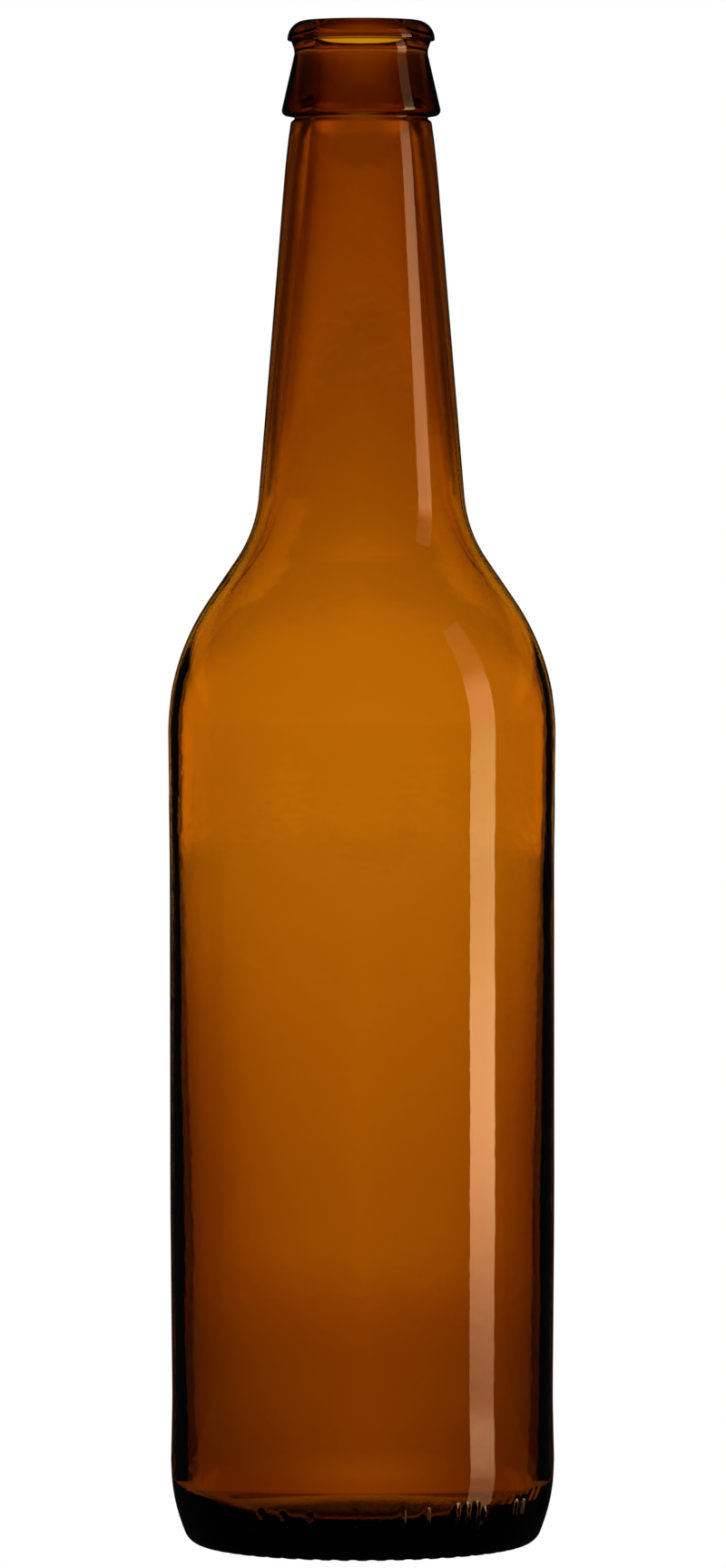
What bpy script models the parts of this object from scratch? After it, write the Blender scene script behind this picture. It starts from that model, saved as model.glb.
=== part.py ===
"""Long-neck beer bottle of amber glass, standing on its base centre at the origin, in metres, +Z up.

One closed solid: a turned glass wall with its crown finish, neck, shoulder, body, heel and push-up,
a ring of knurls under the foot and raised dots and bars along the front of the heel.
"""

import math

import bmesh
import bpy
from mathutils import Matrix, Vector

MM = 0.001

# Driving sizes, millimetres. "r" is a distance from the bottle's axis and "z" a height above the table.
HEIGHT = 268.6
BORE_R = 8.4
LIP_R = 12.98
WAIST_R = 11.76
WAIST_Z = 262.9
COLLAR_R = 13.99
COLLAR_Z = 252.75
GROOVE_R = 11.75
GROOVE_Z = 251.35
NECK_TOP_R = 12.45
NECK_TOP_Z = 250.4
NECK_SWELL_R = 13.87
NECK_SWELL_Z = 231.2
NECK_R = 18.0
NECK_FOOT_Z = 186.8
INNER_NECK_FOOT_Z = 187.8
SHOULDER_R = 34.18
SHOULDER_Z = 143.2
PANEL_R = 33.88
PANEL_TOP_Z = 119.0
PANEL_BEND_Z = 66.0
PANEL_FOOT_R = 33.6
PANEL_FOOT_Z = 26.5
HEEL_R = 33.83
HEEL_Z = 14.0
FOOT_OUT_R = 28.2
FOOT_IN_R = 26.3
PUSH_UP = 4.0
FLOOR_Z = 8.0
FLOOR_TROUGH_Z = 5.1

# Radii of the curves that join them, millimetres
LIP_CURVE = 3.35
LIP_INNER_CURVE = 0.9
RING_EDGE = 0.28
RING_FILLET = 0.3
RING_STEP = 0.44
WAIST_CURVE = 2.6
COLLAR_EDGE = 1.0
GROOVE_FILLET = 0.2
NECK_TOP_EDGE = 0.6
NECK_SWELL_CURVE = 120.0
NECK_FOOT_CURVE = 23.0
SHOULDER_CURVE = 41.5
PANEL_TOP_CURVE = 400.0
PANEL_BEND_CURVE = 1500.0
PANEL_FOOT_CURVE = 130.0
HEEL_CURVE = 30.0
FOOT_EDGE = 3.5
FOOT_IN_EDGE = 1.5
PUSH_UP_CURVE = 75.0
FLOOR_CURVE = 70.0
INNER_HEEL_CURVE = 7.5
INNER_NECK_CURVE = 60.0

# Glass thickness where the wall is thinnest, millimetres
SHOULDER_WALL = 1.65
NECK_FOOT_WALL = 2.4
INNER_HEEL_R = 31.1
INNER_NECK_Z = 258.0

SAG = 0.09  # how far a flat may lie from the true curve
LEAST_STEP = 0.02  # points closer than this are one point
SEGMENTS = 56  # flats round the bottle, one for each knurl

KNURLS = SEGMENTS
KNURL_DEPTH = 0.3
KNURL_CURVE = 1.4
KNURL_SIDES = 12

# Heel marks: each group has an angle from the front and a word of bars and dots, and repeats at the back
MARK_GROUPS = ((-32, ". ."), (-16, "."), (-2, "|"), (12, "| |"), (29, "|||."), (54, "||"), (70, "||"))
MARK_PITCH_DEG = 3.6
MARK_Z = 8.2
MARK_WIDTH = 1.1
MARK_RELIEF = 0.4
BAR_LENGTH = 3.6
DOT_LENGTH = 1.5
MARK_SEGMENTS = 8
MARK_RINGS = 4

GLASS_COLOUR = (0.23, 0.075, 0.008, 1.0)
GLASS_ROUGHNESS = 0.03
GLASS_IOR = 1.52


def clear_scene():
    for obj in list(bpy.data.objects):
        bpy.data.objects.remove(obj, do_unlink=True)


def amber_glass():
    material = bpy.data.materials.new("amber_glass")
    material.use_nodes = True
    shader = material.node_tree.nodes["Principled BSDF"]
    shader.inputs["Base Color"].default_value = GLASS_COLOUR
    shader.inputs["Roughness"].default_value = GLASS_ROUGHNESS
    shader.inputs["Metallic"].default_value = 0.0
    shader.inputs["IOR"].default_value = GLASS_IOR
    shader.inputs["Transmission Weight"].default_value = 1.0
    return material


def line_normal(here, there):
    """Angle of the outward normal of the line touching two circles of the outline."""
    (r0, z0, curve0), (r1, z1, curve1) = here, there
    along = math.atan2(z1 - z0, r1 - r0)
    return along + math.acos((curve0 - curve1) / math.hypot(r1 - r0, z1 - z0))


def rounded_outline(circles, first_normal, last_normal):
    """Points along arcs of the circles and the straight lines that touch them in turn.

    A circle is (r, z, radius), with a negative radius where the glass is hollowed. The glass lies
    on the right of the way the outline runs.
    """
    normals = [math.radians(first_normal)]
    normals += [line_normal(here, there) for here, there in zip(circles, circles[1:])]
    normals.append(math.radians(last_normal))
    points = []
    for (r, z, curve), start, end in zip(circles, normals, normals[1:]):
        turn = (end - start + math.pi) % math.tau - math.pi
        flat = 2 * math.acos(1 - SAG / max(abs(curve), 2 * SAG))
        steps = max(1, math.ceil(abs(turn) / flat))
        for step in range(steps + 1):
            angle = start + turn * step / steps
            point = (r + curve * math.cos(angle), z + curve * math.sin(angle))
            if not points or math.dist(point, points[-1]) > LEAST_STEP:
                points.append(point)
    return points


def inside():
    """Circles of the inner surface, from the middle of the floor up to the mouth."""
    return [
        (0.0, FLOOR_Z - FLOOR_CURVE, FLOOR_CURVE),
        (INNER_HEEL_R - INNER_HEEL_CURVE, FLOOR_TROUGH_Z + INNER_HEEL_CURVE, -INNER_HEEL_CURVE),
        (SHOULDER_R - SHOULDER_CURVE, SHOULDER_Z, SHOULDER_WALL - SHOULDER_CURVE),
        (NECK_R + NECK_FOOT_CURVE, INNER_NECK_FOOT_Z, NECK_FOOT_CURVE + NECK_FOOT_WALL),
        (BORE_R + INNER_NECK_CURVE, INNER_NECK_Z, INNER_NECK_CURVE),
        (BORE_R + LIP_INNER_CURVE, HEIGHT - LIP_INNER_CURVE, LIP_INNER_CURVE),
    ]


def finish():
    """Circles of the crown finish, from the lip down to the groove under the collar."""
    ring_z = HEIGHT - LIP_CURVE
    return [
        (LIP_R - LIP_CURVE, ring_z, LIP_CURVE),
        (LIP_R - RING_EDGE, ring_z, RING_EDGE),
        (LIP_R - RING_STEP, ring_z - RING_EDGE - RING_FILLET, -RING_FILLET),
        (WAIST_R + WAIST_CURVE, WAIST_Z, -WAIST_CURVE),
        (COLLAR_R - COLLAR_EDGE, COLLAR_Z, COLLAR_EDGE),
        (GROOVE_R + GROOVE_FILLET, GROOVE_Z, -GROOVE_FILLET),
        (NECK_TOP_R - NECK_TOP_EDGE, NECK_TOP_Z, NECK_TOP_EDGE),
    ]


def body():
    """Circles of the neck, shoulder, label panel, heel and foot, from the top down."""
    return [
        (NECK_SWELL_R - NECK_SWELL_CURVE, NECK_SWELL_Z, NECK_SWELL_CURVE),
        (NECK_R + NECK_FOOT_CURVE, NECK_FOOT_Z, -NECK_FOOT_CURVE),
        (SHOULDER_R - SHOULDER_CURVE, SHOULDER_Z, SHOULDER_CURVE),
        (PANEL_R + PANEL_TOP_CURVE, PANEL_TOP_Z, -PANEL_TOP_CURVE),
        (PANEL_R - PANEL_BEND_CURVE, PANEL_BEND_Z, PANEL_BEND_CURVE),
        (PANEL_FOOT_R + PANEL_FOOT_CURVE, PANEL_FOOT_Z, -PANEL_FOOT_CURVE),
        (HEEL_R - HEEL_CURVE, HEEL_Z, HEEL_CURVE),
        (FOOT_OUT_R, FOOT_EDGE, FOOT_EDGE),
        (FOOT_IN_R, FOOT_IN_EDGE, FOOT_IN_EDGE),
        (0.0, PUSH_UP - PUSH_UP_CURVE, -PUSH_UP_CURVE),
    ]


def turned_bottle(material):
    """The glass wall: one outline from the floor, over the lip and back under the foot, turned by a Screw."""
    points = rounded_outline(inside() + finish() + body(), 90, -90)
    mesh = bpy.data.meshes.new("bottle")
    edges = [(i, i + 1) for i in range(len(points) - 1)]
    mesh.from_pydata([(r * MM, 0, z * MM) for r, z in points], edges, [])
    mesh.materials.append(material)
    bottle = bpy.data.objects.new("bottle", mesh)
    bpy.context.scene.collection.objects.link(bottle)
    turn = bottle.modifiers.new("turn", "SCREW")
    turn.steps = turn.render_steps = SEGMENTS
    turn.use_merge_vertices = True
    turn.merge_threshold = 1e-6
    turn.use_smooth_shade = True
    return bottle


def helper(name, bm):
    """A hidden object that a Boolean takes from the bottle or joins to it."""
    mesh = bpy.data.meshes.new(name)
    bm.to_mesh(mesh)
    bm.free()
    obj = bpy.data.objects.new(name, mesh)
    bpy.context.scene.collection.objects.link(obj)
    obj.hide_render = True
    obj.display_type = "WIRE"
    return obj


def knurl_cutter():
    """Radial rods under the foot, one for each knurl, half a pitch off the X axis."""
    bm = bmesh.new()
    length = (FOOT_OUT_R - FOOT_IN_R + 2 * FOOT_EDGE) * MM
    middle = (FOOT_OUT_R + FOOT_IN_R) / 2 * MM
    for knurl in range(KNURLS):
        place = (
            Matrix.Rotation(math.tau * (knurl + 0.5) / KNURLS, 4, "Z")
            @ Matrix.Translation((middle, 0, (KNURL_DEPTH - KNURL_CURVE) * MM))
            @ Matrix.Rotation(math.pi / 2, 4, "Y")
        )
        bmesh.ops.create_cone(
            bm,
            cap_ends=True,
            segments=KNURL_SIDES,
            radius1=KNURL_CURVE * MM,
            radius2=KNURL_CURVE * MM,
            depth=length,
            matrix=place,
        )
    return helper("knurl_cutter", bm)


def mark_place(angle):
    """Frame of a heel mark: X out of the glass, Z up along it, on the heel's curve at the marks' height."""
    lean = math.asin((MARK_Z - HEEL_Z) / HEEL_CURVE)
    r = HEEL_R - HEEL_CURVE + HEEL_CURVE * math.cos(lean)
    return (
        Matrix.Rotation(math.radians(angle - 90), 4, "Z")
        @ Matrix.Translation((r * MM, 0, MARK_Z * MM))
        @ Matrix.Rotation(-lean, 4, "Y")
    )


def heel_marks():
    """Rounded bars and dots along the front of the heel, half sunk in it."""
    bm = bmesh.new()
    for group_angle, word in MARK_GROUPS:
        for place, sign in enumerate(word):
            if sign == " ":
                continue
            length = BAR_LENGTH if sign == "|" else DOT_LENGTH
            size = Vector((MARK_RELIEF, MARK_WIDTH / 2, length / 2)) * MM
            bmesh.ops.create_uvsphere(
                bm,
                u_segments=MARK_SEGMENTS,
                v_segments=MARK_RINGS,
                radius=1.0,
                matrix=mark_place(group_angle + place * MARK_PITCH_DEG) @ Matrix.Diagonal(size.to_4d()),
            )
    return helper("heel_marks", bm)


def combine(bottle, other, operation, solver="EXACT"):
    step = bottle.modifiers.new(other.name, "BOOLEAN")
    step.operation = operation
    step.solver = solver
    step.object = other


def main():
    clear_scene()
    bottle = turned_bottle(amber_glass())
    combine(bottle, knurl_cutter(), "DIFFERENCE")
    combine(bottle, heel_marks(), "UNION", "MANIFOLD")


main()
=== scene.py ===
"""Long-neck beer bottle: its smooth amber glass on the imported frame, with a stage and its light.

Laid out as a Blender add-on and run as a script. Metres, +Z up, the viewer on the -Y side.
"""

import math

import bmesh
import bpy
from bpy.props import FloatProperty, FloatVectorProperty, IntProperty, PointerProperty
from mathutils import Matrix, Vector, noise


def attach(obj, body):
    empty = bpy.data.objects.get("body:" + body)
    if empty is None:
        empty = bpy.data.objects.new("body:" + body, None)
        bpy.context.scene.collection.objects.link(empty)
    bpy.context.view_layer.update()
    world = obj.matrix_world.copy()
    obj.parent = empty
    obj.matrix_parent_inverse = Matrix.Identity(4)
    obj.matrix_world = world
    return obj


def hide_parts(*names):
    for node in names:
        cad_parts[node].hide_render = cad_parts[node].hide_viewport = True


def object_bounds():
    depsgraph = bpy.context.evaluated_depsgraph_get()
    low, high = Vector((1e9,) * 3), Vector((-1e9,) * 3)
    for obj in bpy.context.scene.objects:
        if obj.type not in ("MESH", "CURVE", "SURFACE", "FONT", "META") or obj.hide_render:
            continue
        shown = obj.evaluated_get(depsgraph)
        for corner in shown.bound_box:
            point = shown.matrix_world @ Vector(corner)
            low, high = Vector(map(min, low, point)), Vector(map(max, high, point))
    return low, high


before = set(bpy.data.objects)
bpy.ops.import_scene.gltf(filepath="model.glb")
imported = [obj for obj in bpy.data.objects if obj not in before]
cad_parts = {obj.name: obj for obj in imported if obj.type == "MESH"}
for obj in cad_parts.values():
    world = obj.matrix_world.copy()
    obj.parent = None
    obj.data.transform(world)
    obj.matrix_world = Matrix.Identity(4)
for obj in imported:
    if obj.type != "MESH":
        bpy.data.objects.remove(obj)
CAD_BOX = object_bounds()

bl_info = {
    "name": "Long-neck bottle",
    "version": (1, 0, 0),
    "blender": (4, 5, 0),
    "location": "3D View > Sidebar > Bottle",
    "description": "Models the glass of a long-neck beer bottle and its stage",
    "category": "Object",
}

MM = 0.001
BODY = "root"
NODE = "bottle"

# Curves that join the parts of the outline
LIP_CURVE = 3.35 * MM
LIP_INNER_CURVE = 0.9 * MM
RING_EDGE = 0.28 * MM
RING_FILLET = 0.3 * MM
RING_STEP = 0.44 * MM
WAIST_CURVE = 2.6 * MM
COLLAR_EDGE = 1.0 * MM
GROOVE_FILLET = 0.2 * MM
NECK_TOP_EDGE = 0.6 * MM
NECK_SWELL_CURVE = 120 * MM
NECK_FOOT_CURVE = 23 * MM
SHOULDER_CURVE = 41.5 * MM
PANEL_TOP_CURVE = 400 * MM
PANEL_BEND_CURVE = 1500 * MM
PANEL_FOOT_CURVE = 130 * MM
HEEL_CURVE = 30 * MM
FOOT_EDGE = 3.5 * MM
FOOT_IN_EDGE = 1.5 * MM
PUSH_UP_CURVE = 75 * MM
FLOOR_CURVE = 70 * MM
INNER_HEEL_CURVE = 7.5 * MM
INNER_NECK_CURVE = 60 * MM

# How finely the outline is cut
SAG = 0.008 * MM
LEAST_STEP = 0.02 * MM
LONGEST_STEP = 3.0 * MM
RELIEF_STEP = 0.42 * MM
RELIEF_LOW, RELIEF_HIGH = 5.0 * MM, 11.4 * MM
RELIEF_RADIUS = 31.6 * MM
RELIEF_CUTS = 1
SEGMENTS_PER_KNURL = 5
SAME_PLACE = 0.0001 * MM
SAME_LEVEL = 0.001 * MM

# Heel marks: each group has an angle from the front, in degrees, and a word of bars and dots
MARK_GROUPS = ((-32, ". ."), (-16, "."), (-2, "|"), (12, "| |"), (29, "|||."), (54, "||"), (70, "||"))
MARK_PITCH_DEG = 3.6
MARKS_FROM_DEG = MARK_GROUPS[0][0] - 6
MARKS_TO_DEG = MARK_GROUPS[-1][0] + 10
# A mark's slope in half widths of it: how far it reaches, sideways and squared, and how fast it falls
MARK_REACH = 1.6
MARK_REACH_SQUARED = 6
MARK_FALL = 1.5

# The mould seam's half width, and how far its gap goes past the panel's top and the shoulder
SEAM_HALF = 0.2 * MM
SEAM_GAP_FOOT = 12 * MM
SEAM_GAP_TOP = 6 * MM

# Unevenness of the glass: the size of its waves and a seed for each
OUTER_WAVES = (7 * MM, 3.1)
INNER_WAVES = (24 * MM, 5.3)
INNER_SMALL_WAVES = (11 * MM, 8.9)
SMALL_WAVE_SHARE = 0.5
SEED_Y, SEED_Z = 1.7, 0.6
WAVES_FADE = 20 * MM

# The skin's fine grain
GRAIN_SCALE = 420.0
GRAIN_STRENGTH = 0.02
GRAIN_DEPTH = 0.5 * MM

QUARTER = math.pi / 2


# ---------------------------------------------------------------- settings


def length(label, text, default):
    return FloatProperty(name=label, description=text, default=default, unit="LENGTH", precision=5)


class BottleSizes(bpy.types.PropertyGroup):
    """Sizes of the bottle: radii from its axis and heights above the table."""

    height: length("Height", "Foot to lip", CAD_BOX[1].z)
    bore: length("Bore radius", "Inside of the mouth", 8.4 * MM)
    lip: length("Lip radius", "Outside of the locking ring", 12.98 * MM)
    waist: length("Waist radius", "Under the locking ring", 11.76 * MM)
    waist_z: length("Waist height", "Narrowest place of the finish", 262.9 * MM)
    collar: length("Collar radius", "Widest place of the collar", 13.99 * MM)
    collar_z: length("Collar height", "Widest place of the collar", 252.75 * MM)
    groove: length("Groove radius", "Groove under the collar", 11.75 * MM)
    groove_z: length("Groove height", "Groove under the collar", 251.35 * MM)
    neck_top: length("Neck top radius", "Neck under the groove", 12.45 * MM)
    neck_top_z: length("Neck top height", "Neck under the groove", 250.4 * MM)
    neck_swell: length("Neck swell radius", "Upper neck", 13.87 * MM)
    neck_swell_z: length("Neck swell height", "Upper neck", 231.2 * MM)
    neck: length("Neck foot radius", "Narrowest place of the neck's foot curve", 18.0 * MM)
    neck_foot_z: length("Neck foot height", "Where the neck meets the shoulder", 186.8 * MM)
    shoulder: length("Shoulder radius", "Widest place of the bottle", 34.18 * MM)
    shoulder_z: length("Shoulder height", "Widest place of the bottle", 143.2 * MM)
    panel: length("Panel radius", "Label panel", 33.88 * MM)
    panel_top_z: length("Panel top height", "Top of the label panel", 119.0 * MM)
    panel_bend_z: length("Panel bend height", "Where the panel starts to narrow", 66.0 * MM)
    panel_foot: length("Panel foot radius", "Narrowest place above the heel", 33.6 * MM)
    panel_foot_z: length("Panel foot height", "Narrowest place above the heel", 26.5 * MM)
    heel: length("Heel radius", "Heel band", 33.83 * MM)
    heel_z: length("Heel height", "Heel band", 14.0 * MM)
    foot_out: length("Foot outer radius", "Outer edge of the flat ring it stands on", 28.2 * MM)
    foot_in: length("Foot inner radius", "Inner edge of the flat ring it stands on", 26.3 * MM)
    push_up: length("Push-up", "Rise of the underside in the middle", 4.0 * MM)
    floor_z: length("Floor height", "Middle of the inner floor", 8.0 * MM)
    floor_trough_z: length("Floor trough height", "Lowest place of the inner floor", 5.1 * MM)
    inner_heel: length("Inner heel radius", "Inside of the wall above the floor", 31.1 * MM)
    inner_neck_z: length("Bore foot height", "Where the straight bore ends", 258.0 * MM)
    shoulder_wall: length("Shoulder wall", "Glass thickness at the shoulder", 1.65 * MM)
    neck_wall: length("Neck foot wall", "Glass thickness at the neck's foot", 2.4 * MM)
    inner_foot_z: length("Inner neck foot height", "Where the inner neck meets the shoulder", 187.8 * MM)


class BottleRelief(bpy.types.PropertyGroup):
    """Low relief of the moulded glass."""

    knurls: IntProperty(name="Knurls", description="Grooves under the foot", default=56, min=8)
    knurl_depth: length("Knurl depth", "Depth of a groove", 0.3 * MM)
    knurl_curve: length("Knurl curve", "Radius of a groove", 1.4 * MM)
    mark_z: length("Mark height", "Middle of the heel marks above the table", 8.2 * MM)
    mark_relief: length("Mark relief", "How far a mark stands proud", 0.4 * MM)
    mark_width: length("Mark width", "Width of a bar or dot", 1.1 * MM)
    bar_length: length("Bar length", "Height of a bar", 3.6 * MM)
    dot_length: length("Dot length", "Height of a dot", 1.5 * MM)
    seam_relief: length("Seam relief", "How far the mould seam stands proud", 0.07 * MM)
    ripple_out: length("Outer ripple", "Unevenness of the outer skin", 0.008 * MM)
    ripple_in: length("Inner ripple", "Unevenness of the inner skin", 0.05 * MM)


class GlassFinish(bpy.types.PropertyGroup):
    """Looks of the amber glass."""

    ior: FloatProperty(name="IOR", description="Index of refraction", default=1.52, min=1.0)
    roughness: FloatProperty(
        name="Roughness", description="Roughness of the skin", default=0.0, min=0.0, subtype="FACTOR"
    )
    tint: FloatVectorProperty(
        name="Tint",
        description="Colour added by each skin",
        default=(1.0, 0.64, 0.2),
        subtype="COLOR",
        min=0.0,
        max=1.0,
    )
    density: FloatProperty(
        name="Density", description="Absorption per metre of glass", default=1200.0, min=0.0
    )
    passes: FloatVectorProperty(
        name="Passes",
        description="Colour that the glass lets through",
        default=(0.8, 0.696, 0.083),
        subtype="COLOR",
        min=0.0,
        max=1.0,
    )


class StageSettings(bpy.types.PropertyGroup):
    """Camera, backdrop and lights."""

    distance: length("Camera distance", "From the bottle's axis", 1.646)
    eye: length("Camera height", "Above the table", 0.1888)
    aside: length("Camera offset", "To the right of the bottle's axis", 0.0002)
    tilt: FloatProperty(
        name="Tilt", description="Below the horizon", default=math.radians(1.9), subtype="ANGLE"
    )
    roll: FloatProperty(
        name="Roll", description="About the view axis", default=math.radians(-0.06), subtype="ANGLE"
    )
    lens: FloatProperty(name="Lens", description="Focal length, millimetres", default=214.4, min=1.0)
    glow: FloatProperty(name="Back glow", description="Strength of the glow behind", default=1.0, min=0.0)
    strip: FloatProperty(name="Strip", description="Strength of the strip light", default=11.0, min=0.0)
    fill: FloatProperty(name="Fill", description="Light of the dark studio", default=0.006, min=0.0)


# ---------------------------------------------------------------- shader maths


class Value:
    """A shader socket that takes part in Python expressions."""

    def __init__(self, tree, socket):
        self.tree, self.socket = tree, socket

    def _math(self, operation, *others):
        inputs = {0: self, **dict(enumerate(others, 1))}
        return self.tree.add("ShaderNodeMath", {"operation": operation}, inputs)

    def __add__(self, other):
        return self._math("ADD", other)

    __radd__ = __add__

    def __sub__(self, other):
        return self._math("SUBTRACT", other)

    def __rsub__(self, other):
        return self.tree.add("ShaderNodeMath", {"operation": "SUBTRACT"}, {0: other, 1: self})

    def __mul__(self, other):
        return self._math("MULTIPLY", other)

    __rmul__ = __mul__

    def __truediv__(self, other):
        return self._math("DIVIDE", other)

    def __rtruediv__(self, other):
        return self.tree.add("ShaderNodeMath", {"operation": "DIVIDE"}, {0: other, 1: self})

    def __pow__(self, other):
        return self._math("POWER", other)

    def exp(self):
        return self._math("EXPONENT")

    def size(self):
        return self._math("ABSOLUTE")

    def step(self, start, end):
        """A smooth step from 0 at the start to 1 at the end, which may lie below the start."""
        low, high = min(start, end), max(start, end)
        rise = self.tree.add(
            "ShaderNodeMapRange",
            {"interpolation_type": "SMOOTHSTEP"},
            {"Value": self, "From Min": low, "From Max": high},
        )
        return rise if end > start else 1 - rise

    def hill(self, centre, width):
        """A smooth hill, 1 at the centre and 1/e a width away."""
        across = (self - centre) / width
        return (across * across * -1.0).exp()


# The number of the Object output of Texture Coordinate
OBJECT_PLACE = 3


class Nodes:
    """Adds nodes to a material's or world's tree."""

    def __init__(self, owner):
        owner.use_nodes = True
        self.tree = owner.node_tree
        self.tree.nodes.clear()

    def add(self, kind, settings=None, inputs=None, out=0):
        node = self.tree.nodes.new(kind)
        for name, value in (settings or {}).items():
            setattr(node, name, value)
        for name, value in (inputs or {}).items():
            if isinstance(value, Value):
                self.tree.links.new(value.socket, node.inputs[name])
            elif value is not None:
                node.inputs[name].default_value = value
        if not node.outputs:
            return node
        return Value(self, node.outputs[out])


def split(nodes, vector):
    """The three parts of a vector."""
    first = nodes.add("ShaderNodeSeparateXYZ", None, {0: vector})
    node = first.socket.node
    return [Value(nodes, socket) for socket in node.outputs]


def blend(nodes, share, first, second):
    """A colour that goes from the first to the second as the share goes from 0 to 1."""
    # A colour Mix has its factor, A and B at 0, 6 and 7, and its colour at 2
    return nodes.add("ShaderNodeMix", {"data_type": "RGBA"}, {0: share, 6: first, 7: second}, out=2)


# ---------------------------------------------------------------- outline


def line_normal(here, there):
    """Angle of the outward normal of the line touching two circles of the outline."""
    (r0, z0, curve0), (r1, z1, curve1) = here, there
    along = math.atan2(z1 - z0, r1 - r0)
    return along + math.acos(min(1.0, (curve0 - curve1) / math.hypot(r1 - r0, z1 - z0)))


def rounded_outline(circles, first_normal, last_normal):
    """Points along arcs of the circles and the straight lines that touch them in turn.

    A circle is (r, z, radius), with a negative radius where the glass is hollowed. The glass lies
    on the right of the way the outline runs.
    """
    normals = [first_normal]
    normals += [line_normal(here, there) for here, there in zip(circles, circles[1:])]
    normals.append(last_normal)
    points = []
    for (r, z, curve), start, end in zip(circles, normals, normals[1:]):
        turn = (end - start + math.pi) % math.tau - math.pi
        flat = 2 * math.acos(1 - SAG / max(abs(curve), 2 * SAG))
        flat = min(flat, LONGEST_STEP / abs(curve))
        steps = max(1, math.ceil(abs(turn) / flat))
        for step in range(steps + 1):
            angle = start + turn * step / steps
            point = (r + curve * math.cos(angle), z + curve * math.sin(angle))
            if not points or math.dist(point, points[-1]) > LEAST_STEP:
                points.append(point)
    return points


def inside(s):
    """Circles of the inner surface, from the middle of the floor up to the mouth."""
    return [
        (0.0, s.floor_z - FLOOR_CURVE, FLOOR_CURVE),
        (s.inner_heel - INNER_HEEL_CURVE, s.floor_trough_z + INNER_HEEL_CURVE, -INNER_HEEL_CURVE),
        (s.shoulder - SHOULDER_CURVE, s.shoulder_z, s.shoulder_wall - SHOULDER_CURVE),
        (s.neck + NECK_FOOT_CURVE, s.inner_foot_z, NECK_FOOT_CURVE + s.neck_wall),
        (s.bore + INNER_NECK_CURVE, s.inner_neck_z, INNER_NECK_CURVE),
        (s.bore + LIP_INNER_CURVE, s.height - LIP_INNER_CURVE, LIP_INNER_CURVE),
    ]


def outside(s):
    """Circles of the outer surface, from the lip down to the middle of the underside."""
    ring_z = s.height - LIP_CURVE
    return [
        (s.lip - LIP_CURVE, ring_z, LIP_CURVE),
        (s.lip - RING_EDGE, ring_z, RING_EDGE),
        (s.lip - RING_STEP, ring_z - RING_EDGE - RING_FILLET, -RING_FILLET),
        (s.waist + WAIST_CURVE, s.waist_z, -WAIST_CURVE),
        (s.collar - COLLAR_EDGE, s.collar_z, COLLAR_EDGE),
        (s.groove + GROOVE_FILLET, s.groove_z, -GROOVE_FILLET),
        (s.neck_top - NECK_TOP_EDGE, s.neck_top_z, NECK_TOP_EDGE),
        (s.neck_swell - NECK_SWELL_CURVE, s.neck_swell_z, NECK_SWELL_CURVE),
        (s.neck + NECK_FOOT_CURVE, s.neck_foot_z, -NECK_FOOT_CURVE),
        (s.shoulder - SHOULDER_CURVE, s.shoulder_z, SHOULDER_CURVE),
        (s.panel + PANEL_TOP_CURVE, s.panel_top_z, -PANEL_TOP_CURVE),
        (s.panel - PANEL_BEND_CURVE, s.panel_bend_z, PANEL_BEND_CURVE),
        (s.panel_foot + PANEL_FOOT_CURVE, s.panel_foot_z, -PANEL_FOOT_CURVE),
        (s.heel - HEEL_CURVE, s.heel_z, HEEL_CURVE),
        (s.foot_out, FOOT_EDGE, FOOT_EDGE),
        (s.foot_in, FOOT_IN_EDGE, FOOT_IN_EDGE),
        (0.0, s.push_up - PUSH_UP_CURVE, -PUSH_UP_CURVE),
    ]


def finely_cut(points):
    """The outline with its long stretches cut up, finest where the heel carries its marks."""
    cut = [points[0]]
    for (r0, z0), (r1, z1) in zip(points, points[1:]):
        outer = (r0 + r1) / 2 > RELIEF_RADIUS
        relief = outer and RELIEF_LOW < (z0 + z1) / 2 < RELIEF_HIGH
        longest = RELIEF_STEP if relief else LONGEST_STEP
        pieces = max(1, math.ceil(math.dist((r0, z0), (r1, z1)) / longest))
        cut += [(r0 + (r1 - r0) * i / pieces, z0 + (z1 - z0) * i / pieces) for i in range(1, pieces + 1)]
    return cut


# ---------------------------------------------------------------- relief

INNER, OUTER = 0, 1


def lift_from_groove(vert, f):
    """Lifts a point of the foot out of the nearest groove."""
    pitch = math.tau / f.knurls
    angle = math.atan2(vert.co.y, vert.co.x) % pitch - pitch / 2
    across = angle * math.hypot(vert.co.x, vert.co.y)
    if abs(across) < f.knurl_curve:
        roof = math.sqrt(f.knurl_curve**2 - across**2) - f.knurl_curve + f.knurl_depth
        vert.co.z = max(vert.co.z, roof)


def heel_marks(f):
    """(angle from the front, half length) of each bar and dot."""
    marks = []
    for group_angle, word in MARK_GROUPS:
        for place, sign in enumerate(word):
            if sign != " ":
                size = f.bar_length if sign == "|" else f.dot_length
                marks.append((group_angle + place * MARK_PITCH_DEG, size / 2))
    return marks


def mark_height(vert, s, f, marks):
    """How far the marks stand proud at a point of the heel."""
    front = math.degrees(math.atan2(vert.co.x, -vert.co.y))
    lean = math.asin((f.mark_z - s.heel_z) / HEEL_CURVE)
    along = (vert.co.z - f.mark_z) / math.cos(lean)
    if abs(along) > f.bar_length:
        return 0.0
    proud = 0.0
    r = math.hypot(vert.co.x, vert.co.y)
    for angle, half in marks:
        away = (front - angle + 180) % 360 - 180
        across = math.radians(away) * r / (f.mark_width / 2)
        if abs(across) < MARK_REACH:
            beyond = max(abs(along) - (half - f.mark_width / 2), 0) / (f.mark_width / 2)
            off = across**2 + beyond**2
            if off < MARK_REACH_SQUARED:
                proud = max(proud, f.mark_relief / (1 + off**2 * MARK_FALL))
    return proud


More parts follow.
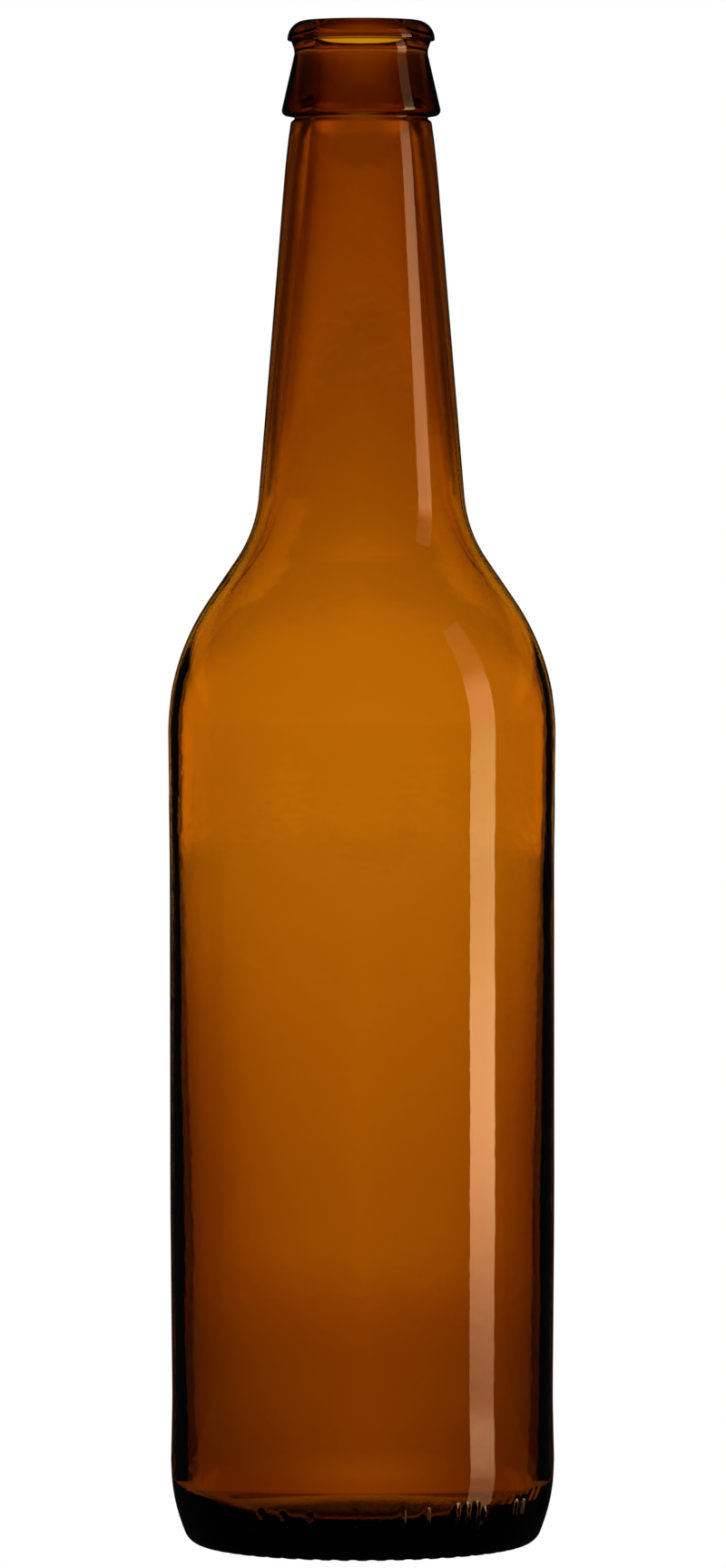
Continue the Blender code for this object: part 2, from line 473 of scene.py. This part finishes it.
def ripples(point, size, seed):
    """Smooth unevenness between about -1 and 1, the same on every run."""
    return noise.noise(point / size + Vector((seed, seed * SEED_Y, seed * SEED_Z)))


def seam_height(vert, s, f):
    """The mould seam, a fine ridge up both sides that dies out at the bands and the finish."""
    z = vert.co.z
    if not (s.heel_z < z < s.neck_top_z) or abs(vert.co.y) > SEAM_HALF:
        return 0.0
    if s.panel_top_z + SEAM_GAP_FOOT < z < s.shoulder_z + SEAM_GAP_TOP:
        return 0.0
    return f.seam_relief


def marked_edges(bm, skin):
    """The level edges of the outer skin where the heel carries its marks."""
    edges = []
    for edge in bm.edges:
        a, b = edge.verts
        if a[skin] != OUTER or b[skin] != OUTER or abs(a.co.z - b.co.z) > SAME_LEVEL:
            continue
        front = math.degrees(math.atan2(a.co.x + b.co.x, -a.co.y - b.co.y))
        if RELIEF_LOW < a.co.z < RELIEF_HIGH and MARKS_FROM_DEG < front < MARKS_TO_DEG:
            edges.append(edge)
    return edges


def shape_relief(bm, skin, s, f):
    """Knurls, heel marks, seam and ripples, moved into the turned glass."""
    marks = heel_marks(f)
    bm.normal_update()
    for vert in bm.verts:
        r = math.hypot(vert.co.x, vert.co.y)
        if r < MM:
            continue
        if vert[skin] == OUTER:
            if vert.co.z < f.knurl_depth and r > s.foot_in - FOOT_IN_EDGE * 2:
                lift_from_groove(vert, f)
            proud = mark_height(vert, s, f, marks) if RELIEF_LOW < vert.co.z < RELIEF_HIGH else 0.0
            proud += seam_height(vert, s, f)
            if s.heel_z < vert.co.z < s.collar_z:
                proud += f.ripple_out * (ripples(vert.co, *OUTER_WAVES) - 1)
            vert.co += vert.normal * proud
        elif s.floor_trough_z + INNER_HEEL_CURVE < vert.co.z < s.collar_z:
            fade = min(1.0, (s.collar_z - vert.co.z) / WAVES_FADE)
            uneven = ripples(vert.co, *INNER_WAVES)
            uneven += SMALL_WAVE_SHARE * ripples(vert.co, *INNER_SMALL_WAVES)
            vert.co += vert.normal * f.ripple_in * fade * uneven


# ---------------------------------------------------------------- glass


def turned_glass(s, f):
    """The glass wall, spun from its outline and given its low relief."""
    inner, outer = inside(s), outside(s)
    points = finely_cut(rounded_outline(inner + outer, QUARTER, -QUARTER))
    top = max(range(len(points)), key=lambda i: points[i][1])
    bm = bmesh.new()
    skin = bm.verts.layers.int.new("skin")
    row = [bm.verts.new((r, 0, z)) for r, z in points]
    for index, vert in enumerate(row):
        vert[skin] = OUTER if index > top else INNER
    edges = [bm.edges.new(pair) for pair in zip(row, row[1:])]
    bmesh.ops.spin(
        bm,
        geom=row + edges,
        cent=(0, 0, 0),
        axis=(0, 0, 1),
        angle=math.tau,
        steps=f.knurls * SEGMENTS_PER_KNURL,
        use_merge=True,
    )
    bmesh.ops.remove_doubles(bm, verts=bm.verts, dist=SAME_PLACE)
    bmesh.ops.recalc_face_normals(bm, faces=bm.faces)
    bmesh.ops.subdivide_edges(bm, edges=marked_edges(bm, skin), cuts=RELIEF_CUTS)
    shape_relief(bm, skin, s, f)
    for face in bm.faces:
        face.smooth = True
    return bm


def amber_glass(g):
    """Clear-skinned glass that colours light by how much of it the light crosses."""
    material = bpy.data.materials.new("amber_glass_skin")
    nodes = Nodes(material)
    place = nodes.add("ShaderNodeTexCoord", out=OBJECT_PLACE)
    grain = nodes.add(
        "ShaderNodeTexNoise",
        {"noise_dimensions": "3D"},
        {"Vector": place, "Scale": GRAIN_SCALE, "Detail": 1.0},
    )
    bump = nodes.add(
        "ShaderNodeBump", None, {"Strength": GRAIN_STRENGTH, "Distance": GRAIN_DEPTH, "Height": grain}
    )
    shader = nodes.add(
        "ShaderNodeBsdfPrincipled",
        None,
        {
            "Base Color": (*g.tint, 1.0),
            "Roughness": g.roughness,
            "IOR": g.ior,
            "Transmission Weight": 1.0,
            "Normal": bump,
        },
    )
    volume = nodes.add(
        "ShaderNodeVolumeAbsorption", None, {"Color": (*g.passes, 1.0), "Density": g.density}
    )
    nodes.add("ShaderNodeOutputMaterial", None, {"Surface": shader, "Volume": volume})
    return material


def make_object(name, bm, material):
    mesh = bpy.data.meshes.new(name)
    bm.to_mesh(mesh)
    bm.free()
    mesh.materials.append(material)
    piece = bpy.data.objects.new(name, mesh)
    bpy.context.scene.collection.objects.link(piece)
    return piece


# ---------------------------------------------------------------- stage

SEEN_BY = ("camera", "diffuse", "glossy", "transmission", "volume_scatter", "shadow")


def seen_only_by(piece, *rays):
    for ray in SEEN_BY:
        setattr(piece, f"visible_{ray}", ray in rays)


def plane(name, width, height, material):
    """A flat card in its own XY plane, centred on its origin."""
    bm = bmesh.new()
    bmesh.ops.create_grid(bm, x_segments=1, y_segments=1, size=0.5)
    bmesh.ops.scale(bm, vec=(width, height, 1), verts=bm.verts)
    card = make_object(name, bm, material)
    return card


def glowing(name, paint):
    """An emission material of the colour that paint gives for its Nodes."""
    material = bpy.data.materials.new(name)
    nodes = Nodes(material)
    shader = nodes.add("ShaderNodeEmission", None, {"Color": paint(nodes), "Strength": 1.0})
    nodes.add("ShaderNodeOutputMaterial", None, {"Surface": shader})
    material.cycles.emission_sampling = "NONE"
    return material


def lit(nodes, colour, bright):
    """The colour, that many times as bright."""
    return nodes.add("ShaderNodeVectorMath", {"operation": "SCALE"}, {0: colour, "Scale": bright})


def card_place(nodes):
    """X and Y of a point on a card, in metres from its middle."""
    return split(nodes, nodes.add("ShaderNodeTexCoord", out=OBJECT_PLACE))[:2]


WHITE = (1, 1, 1, 1)
WARM = (1, 0.74, 0.5, 1)
RIG_Z = 0.1342

# The panel behind the bottle. Each strength comes in between the two places that follow it, in metres up
# or out from the panel's middle. Where the first place is the larger, it holds below or inside them.
GLOW_AWAY = 18.0
GLOW_SIZE = 100.0
GLOW_BASE = 1.04
BAND, BAND_FOOT_UP, BAND_TOP_UP = 0.20, (-0.85, -0.45), (0.42, -0.05)
UPPER, UPPER_UP = 0.34, (0.68, 1.0)
HIGH, HIGH_UP = 0.15, (2.0, 4.0)
SIDES, SIDES_OUT, SIDES_FOOT_UP, SIDES_TOP_UP = 0.9, (0.6, 4.5), (-1.1, -0.6), (0.9, 0.1)
ENDS_DARK, ENDS_DARK_OUT, ENDS_DARK_UP = 0.85, (6.5, 14.0), (4.0, 1.5)
ENDS_LIGHT, ENDS_LIGHT_OUT = 0.25, (6.0, 12.0)
TOP_DIM, TOP_LIT, TOP_UP = 0.25, 0.75, (11.0, 7.0)
WARM_OUT = (4.0, 9.0)


def paint_glow(nodes, t):
    """Lit evenly, with a brighter band and upper half, brighter beside the band and dim far out and up."""
    x, y = card_place(nodes)
    wide = x.size()
    panel = GLOW_BASE + BAND * y.step(*BAND_FOOT_UP) * y.step(*BAND_TOP_UP)
    panel = panel + UPPER * y.step(*UPPER_UP) + HIGH * y.step(*HIGH_UP)
    sides = 1 + SIDES * wide.step(*SIDES_OUT) * y.step(*SIDES_FOOT_UP) * y.step(*SIDES_TOP_UP)
    dark_ends = 1 - ENDS_DARK * wide.step(*ENDS_DARK_OUT) * y.step(*ENDS_DARK_UP)
    ends = dark_ends * (1 + ENDS_LIGHT * wide.step(*ENDS_LIGHT_OUT))
    top = TOP_DIM + TOP_LIT * y.step(*TOP_UP)
    colour = blend(nodes, wide.step(*WARM_OUT), WHITE, WARM)
    return lit(nodes, colour, panel * sides * ends * top * t.glow)


# The lit table, in metres from the bottle's axis, with its light and shade painted on: painted light that
# thins with the square of the distance, a brighter far part, a painted shade on both sides of what lies
# behind the bottle, and a painted shadow under the bottle
TABLE_SIZE = 4.0
# Painted amber light from the bottle on the table where it lies in painted shade
SHADOW_AMBER_GLOW = (1.0, 0.76, 0.5, 1)
TABLE_BASE = 0.68
TABLE_NEAR = 0.0013
TABLE_FAR, TABLE_FAR_FROM = 0.38, (0.32, 0.66)
ASIDE, ASIDE_FROM = 0.45, (2.0, 0.8)
ASIDE_MIDDLE, ASIDE_WIDTH, ASIDE_EASE = 0.015, 0.16, 0.05
# Radii over which the painted shadow under the bottle gives way to the lit table
CONTACT_SHADOW_EDGE = (0.030, 0.035)
# Strengths between which the painted amber glow in the shade turns white
SHADOW_AMBER_GLOW_STRENGTHS = (0.7, 1.15)


def paint_table(nodes, t):
    """Painted shadow under the bottle, painted light round its foot, painted shade behind it and brighter
    again far away.
    """
    x, y = card_place(nodes)
    away = (x * x + y * y) ** 0.5
    # painted light: a pool of light round the foot that thins with distance, and a brighter far part
    middle = TABLE_BASE + TABLE_NEAR / (away * away) + TABLE_FAR * away.step(*TABLE_FAR_FROM)
    behind = (x / (away + ASIDE_EASE)).hill(ASIDE_MIDDLE, ASIDE_WIDTH)
    # painted shade on both sides of what lies behind the bottle
    aside = 1 - ASIDE * (1 - behind) * away.step(*ASIDE_FROM)
    # dark to nothing under the foot: a painted contact shadow
    strength = middle * aside * away.step(*CONTACT_SHADOW_EDGE)
    # painted amber glow from the bottle where the table is in painted shade, white where it is lit
    colour = blend(nodes, strength.step(*SHADOW_AMBER_GLOW_STRENGTHS), SHADOW_AMBER_GLOW, WHITE)
    return lit(nodes, colour, strength * t.glow)


# The strip light, in metres above the table: its lit lower part, the bright spot at the height of the
# bottle's foot, the dimmer part below that and its lower end
STRIP_ROSE = (1, 0.52, 0.24, 1)
STRIP_GOLD = (1, 0.70, 0.26, 1)
STRIP_AWAY = 0.8
STRIP_TURN = math.radians(75.8)
STRIP_WIDTH = 0.262
STRIP_LOW, STRIP_HIGH = -0.50, 0.90
STRIP_BASE = 0.07
STRIP_LIT, STRIP_LIT_UP = 0.32, (0.55, 0.35)
STRIP_SPOT, STRIP_SPOT_Z, STRIP_SPOT_SIZE = 0.49, 0.03, 0.05
STRIP_FOOT_DIM, STRIP_FOOT_LIT, STRIP_FOOT_UP = 0.45, 0.55, (-0.085, -0.015)
STRIP_GOLD_Z, STRIP_GOLD_SIZE = 0.13, 0.08
STRIP_END_UP = (-0.5, -0.12)


def paint_strip(nodes, t):
    """Brightest low down, fainter higher up and fading out below the table."""
    y = card_place(nodes)[1] + (STRIP_LOW + STRIP_HIGH) / 2
    strength = STRIP_BASE + STRIP_LIT * y.step(*STRIP_LIT_UP)
    strength = strength + STRIP_SPOT * y.hill(STRIP_SPOT_Z, STRIP_SPOT_SIZE)
    foot = STRIP_FOOT_DIM + STRIP_FOOT_LIT * y.step(*STRIP_FOOT_UP)
    colour = blend(nodes, y.hill(STRIP_GOLD_Z, STRIP_GOLD_SIZE), STRIP_ROSE, STRIP_GOLD)
    return lit(nodes, colour, strength * foot * y.step(*STRIP_END_UP) * t.strip)


SENSOR_WIDTH = 36.0
CLIP = (0.1, 100.0)


def camera_place(t):
    return (
        Matrix.Translation((t.aside, -t.distance, t.eye))
        @ Matrix.Rotation(QUARTER - t.tilt, 4, "X")
        @ Matrix.Rotation(t.roll, 4, "Z")
    )


def make_camera(t):
    data = bpy.data.cameras.new("camera")
    data.lens = t.lens
    data.sensor_width = SENSOR_WIDTH
    data.clip_start, data.clip_end = CLIP
    camera = bpy.data.objects.new("camera", data)
    bpy.context.scene.collection.objects.link(camera)
    camera.matrix_world = camera_place(t)
    bpy.context.scene.camera = camera
    return camera


def make_rig(camera):
    """An empty on the bottle's axis that carries the light behind the glass round with the camera."""
    rig = bpy.data.objects.new("rig", None)
    bpy.context.scene.collection.objects.link(rig)
    rig.location = (0, 0, RIG_Z)
    turn = rig.constraints.new("COPY_ROTATION")
    turn.target = camera
    turn.use_x = turn.use_y = False
    return rig


def make_glow(t, rig):
    """A far, softly graded panel behind the bottle."""
    material = glowing("back_glow", lambda nodes: paint_glow(nodes, t))
    card = plane("back_glow", GLOW_SIZE, GLOW_SIZE, material)
    card.parent = rig
    card.location = (0, GLOW_AWAY, 0)
    card.rotation_euler = (QUARTER, 0, 0)
    seen_only_by(card, "transmission")


def make_table(t, rig):
    """The lit table as it is seen through the glass, a glowing card with its light and shadow painted on.
    """
    material = glowing("table_glow", lambda nodes: paint_table(nodes, t))
    card = plane("table_glow", TABLE_SIZE, TABLE_SIZE, material)
    card.parent = rig
    card.location = (0, 0, -RIG_Z)
    seen_only_by(card, "transmission")


BLACK = (0.0, 0.0, 0.0, 1)
GAUZE = (0.46, 0.39, 0.34, 1)
DARK_GAUZE = (0.20, 0.13, 0.10, 1)
# Gauze cards, in metres: name, how far behind the axis, inner and outer edge beside it, foot and top above
# the table, lean towards the axis in degrees, how far in the foot, top and sides fade, and the shade.
# Each has its own depth, because light that meets two clear cards in one plane passes one of them by.
FLAGS = (
    ("edge_flag", 0.050, 0.0465, 1.0, 0.0, 0.171, 0.0, 0.0, 0.006, 0.001, BLACK),
    ("body_flag", 0.054, 0.0430, 1.0, 0.0, 0.128, 0.0, 0.0, 0.045, 0.004, BLACK),
    ("neck_flag", 0.058, 0.0165, 1.0, 0.194, 0.262, 0.0, 0.012, 0.020, 0.026, GAUZE),
    ("shoulder_flag", 0.052, 0.0380, 0.0436, 0.160, 0.192, 38.4, 0.003, 0.006, 0.002, DARK_GAUZE),
)


def veil(name, wide, high, foot, top, side, shade):
    """Dark gauze that grows clear along its edges."""
    material = bpy.data.materials.new(name)
    nodes = Nodes(material)
    x, y = card_place(nodes)
    thick = (wide / 2 - x.size()).step(0.0, side) * (high / 2 - y).step(0.0, top)
    if foot:
        thick = thick * (y + high / 2).step(0.0, foot)
    clear = nodes.add("ShaderNodeBsdfTransparent", None, {"Color": WHITE})
    dark = nodes.add("ShaderNodeBsdfTransparent", None, {"Color": shade})
    shader = nodes.add("ShaderNodeMixShader", None, {0: thick, 1: clear, 2: dark})
    nodes.add("ShaderNodeOutputMaterial", None, {"Surface": shader})
    return material


def make_flags(rig):
    """Dark gauze behind the sides of the body and the neck, which darkens their edges."""
    for name, away, inner, outer, low, high, lean, foot, top, edge, shade in FLAGS:
        wide = outer - inner
        gauze = veil(name, wide, high - low, foot, top, edge, shade)
        for side in (-1, 1):
            card = plane(name + ("_left" if side < 0 else "_right"), wide, high - low, gauze)
            card.parent = rig
            card.location = (side * (inner + outer) / 2, away, (high + low) / 2 - RIG_Z)
            card.rotation_euler = (QUARTER, -side * math.radians(lean), 0)
            seen_only_by(card, "transmission")


def make_strip(t):
    """An upright strip light on the right, in front of the bottle."""
    material = glowing("strip_light", lambda nodes: paint_strip(nodes, t))
    card = plane("strip_light", STRIP_WIDTH, STRIP_HIGH - STRIP_LOW, material)
    card.matrix_world = (
        Matrix.Rotation(STRIP_TURN - QUARTER, 4, "Z")
        @ Matrix.Translation((STRIP_AWAY, 0, (STRIP_LOW + STRIP_HIGH) / 2))
        @ Matrix.Rotation(-QUARTER, 4, "Y")
        @ Matrix.Rotation(-QUARTER, 4, "Z")
    )
    seen_only_by(card, "glossy")


FLOOR_SIZE = 60.0


def make_floor():
    material = glowing("floor_white", lambda nodes: WHITE)
    card = plane("floor", FLOOR_SIZE, FLOOR_SIZE, material)
    seen_only_by(card, "camera")


CEILING, CEILING_UP = 0.3, (0.0, 0.1)


def make_world(t):
    """White where the camera looks past the bottle, dim above to light through the glass, else dark."""
    world = bpy.data.worlds.new("studio")
    bpy.context.scene.world = world
    nodes = Nodes(world)
    seen = nodes.add("ShaderNodeLightPath")
    through = nodes.add("ShaderNodeLightPath", out="Is Transmission Ray")
    up = split(nodes, nodes.add("ShaderNodeTexCoord"))[2]
    strength = seen + (1 - seen) * t.fill + through * CEILING * up.step(*CEILING_UP)
    shader = nodes.add("ShaderNodeBackground", None, {"Color": WHITE, "Strength": strength})
    nodes.add("ShaderNodeOutputWorld", None, {"Surface": shader})


# ---------------------------------------------------------------- operators


class BOTTLE_OT_glass(bpy.types.Operator):
    """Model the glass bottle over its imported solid"""

    bl_idname = "bottle.glass"
    bl_label = "Glass bottle"

    def execute(self, context):
        scene = context.scene
        bm = turned_glass(scene.bottle_sizes, scene.bottle_relief)
        glass = make_object("bottle_glass", bm, amber_glass(scene.bottle_glass))
        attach(glass, BODY)
        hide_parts(NODE)
        return {"FINISHED"}


class BOTTLE_OT_stage(bpy.types.Operator):
    """Set the floor, the lights and the camera"""

    bl_idname = "bottle.stage"
    bl_label = "Stage"

    def execute(self, context):
        t = context.scene.bottle_stage
        camera = make_camera(t)
        make_world(t)
        make_floor()
        rig = make_rig(camera)
        make_glow(t, rig)
        make_table(t, rig)
        make_flags(rig)
        make_strip(t)
        context.scene.view_settings.view_transform = "Standard"
        return {"FINISHED"}


class BOTTLE_PT_panel(bpy.types.Panel):
    """Shows the bottle's two steps and all its settings"""

    bl_label = "Long-neck bottle"
    bl_space_type = "VIEW_3D"
    bl_region_type = "UI"
    bl_category = "Bottle"

    def draw(self, context):
        self.layout.operator(BOTTLE_OT_glass.bl_idname)
        self.layout.operator(BOTTLE_OT_stage.bl_idname)
        for group in SETTINGS:
            settings = getattr(context.scene, group)
            for name in settings.__annotations__:
                self.layout.prop(settings, name)


SETTINGS = {
    "bottle_sizes": BottleSizes,
    "bottle_relief": BottleRelief,
    "bottle_glass": GlassFinish,
    "bottle_stage": StageSettings,
}
CLASSES = (*SETTINGS.values(), BOTTLE_OT_glass, BOTTLE_OT_stage, BOTTLE_PT_panel)


def register():
    for cls in CLASSES:
        bpy.utils.register_class(cls)
    for name, group in SETTINGS.items():
        setattr(bpy.types.Scene, name, PointerProperty(type=group))


def unregister():
    for name in SETTINGS:
        delattr(bpy.types.Scene, name)
    for cls in reversed(CLASSES):
        bpy.utils.unregister_class(cls)


def main():
    register()
    bpy.ops.bottle.glass()
    bpy.ops.bottle.stage()


if __name__ == "__main__":
    main()
